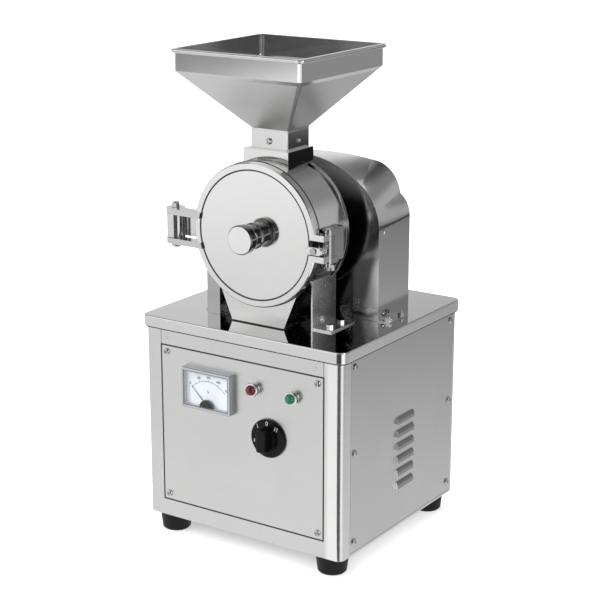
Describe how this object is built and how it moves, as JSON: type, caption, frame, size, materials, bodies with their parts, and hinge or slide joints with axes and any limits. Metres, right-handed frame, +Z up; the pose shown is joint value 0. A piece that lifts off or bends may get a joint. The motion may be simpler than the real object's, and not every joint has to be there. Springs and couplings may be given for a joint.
{
  "type": "laboratory mill",
  "caption": "Stainless bench mill: square hopper, round grinding chamber with hinged, latched door, belt guard, cabinet with meter, lamps and rotary switch.",
  "frame": {"origin": "on the bench, at the centre of the four feet, which is under the middle of the cabinet", "axes": "+Z up, +X to the operator's right, the front with the door and the controls faces -Y"},
  "size_m": [0.3223, 0.3213, 0.639],
  "materials": {
    "cabinet_steel": "satin stainless sheet",
    "lid_steel": "polished stainless sheet",
    "panel_steel": "fine satin stainless sheet",
    "mirror_sheet": "mirror polished stainless sheet",
    "drum_steel": "turned and polished stainless steel",
    "bracket_steel": "satin stainless sheet",
    "turned_steel": "machined steel",
    "hard_steel": "hardened steel",
    "fixings": "zinc plated steel",
    "bright_chrome": "chrome plate",
    "foot_rubber": "black rubber",
    "belt_rubber": "black rubber, fabric backed",
    "seal_rubber": "black seal rubber",
    "black_moulding": "black moulded plastic",
    "switch_moulding": "dark moulded plastic",
    "dial_plate": "white printed plate",
    "needle_black": "black paint",
    "clear_window": "clear moulded window",
    "red_lens": "red translucent plastic",
    "green_lens": "green translucent plastic",
    "motor_paint": "grey painted iron",
    "pulley_iron": "turned cast iron"
  },
  "bodies": {
    "machine": {"cabinet_frame": "cabinet_steel", "bottom_plate": "cabinet_steel", "cabinet_lid": "lid_steel", "rubber_feet": "foot_rubber", "foot_screws": "fixings", "front_panel": "panel_steel", "right_side_panel": "cabinet_steel", "left_side_panel": "cabinet_steel", "rear_panel": "cabinet_steel", "panel_screws": "fixings", "meter_case": "black_moulding", "meter_dial": "dial_plate", "meter_window": "clear_window", "meter_cover": "black_moulding", "lamp_bezels": "bright_chrome", "red_lens": "red_lens", "green_lens": "green_lens", "switch_plate": "black_moulding", "switch_body": "switch_moulding", "cable_gland": "black_moulding", "motor": "motor_paint", "motor_base": "motor_paint", "motor_bolts": "fixings", "v_belt": "belt_rubber", "bearing_housing": "turned_steel", "spindle_bearings": "turned_steel", "screen_ring": "hard_steel", "toothed_liner": "hard_steel", "chamber_housing": "drum_steel", "throat_block": "drum_steel", "hopper": "mirror_sheet", "neck_screws": "fixings", "left_bracket": "bracket_steel", "right_bracket": "bracket_steel", "bracket_bolts": "fixings", "discharge_chute": "bracket_steel", "belt_guard": "mirror_sheet", "guard_screws": "fixings", "hinge_bracket": "drum_steel", "hinge_pin": "fixings", "latch_bracket": "drum_steel", "latch_pin": "fixings", "drawer_guides": "bracket_steel"},
    "door": {"door_ring": "drum_steel", "door_plate": "mirror_sheet", "door_gasket": "seal_rubber", "door_knob": "drum_steel", "hinge_straps": "drum_steel"},
    "swing_bolt": {"swing_bolt": "turned_steel"},
    "bar_nut": {"bar_nut": "drum_steel"},
    "spindle": {"spindle_shaft": "turned_steel", "spindle_pulley": "pulley_iron", "rotor": "turned_steel", "beater_plates": "hard_steel", "rotor_nut": "fixings"},
    "motor_rotor": {"motor_shaft": "turned_steel", "motor_pulley": "pulley_iron"},
    "switch_grip": {"switch_knob": "black_moulding"},
    "meter_pointer": {"meter_needle": "needle_black"},
    "drawer": {"sample_drawer": "panel_steel"}
  },
  "joints": [
    {"name": "door_swing", "type": "hinge", "parent": "machine", "child": "door", "pos_m": [-0.128, -0.102, 0.4085], "axis": [0, 0, -1], "range_deg": [0, 150]},
    {"name": "latch_bolt_swing", "type": "hinge", "parent": "machine", "child": "swing_bolt", "pos_m": [0.096, -0.091, 0.4085], "axis": [0, 0, 1], "range_deg": [0, 95]},
    {"name": "latch_nut_turn", "type": "hinge", "parent": "swing_bolt", "child": "bar_nut", "pos_m": [0.096, -0.118, 0.4085], "axis": [0, 1, 0], "range_deg": [0, 90]},
    {"name": "spindle_spin", "type": "hinge", "parent": "machine", "child": "spindle", "pos_m": [0, -0.03, 0.4125], "axis": [0, -1, 0], "continuous": true},
    {"name": "motor_spin", "type": "hinge", "parent": "machine", "child": "motor_rotor", "pos_m": [0, 0.05, 0.14], "axis": [0, -1, 0], "continuous": true},
    {"name": "switch_turn", "type": "hinge", "parent": "machine", "child": "switch_grip", "pos_m": [0.0435, -0.15, 0.1665], "axis": [0, 1, 0], "range_deg": [-60, 60]},
    {"name": "needle_swing", "type": "hinge", "parent": "machine", "child": "meter_pointer", "pos_m": [-0.048, -0.146, 0.18975], "axis": [0, 1, 0], "range_deg": [0, 90]},
    {"name": "drawer_slide", "type": "slide", "parent": "machine", "child": "drawer", "axis": [-1, 0, 0], "range_m": [0, 0.16]}
  ],
  "couplings": [
    {"joint": "motor_spin", "follows": "spindle_spin", "ratio": 0.5}
  ]
}
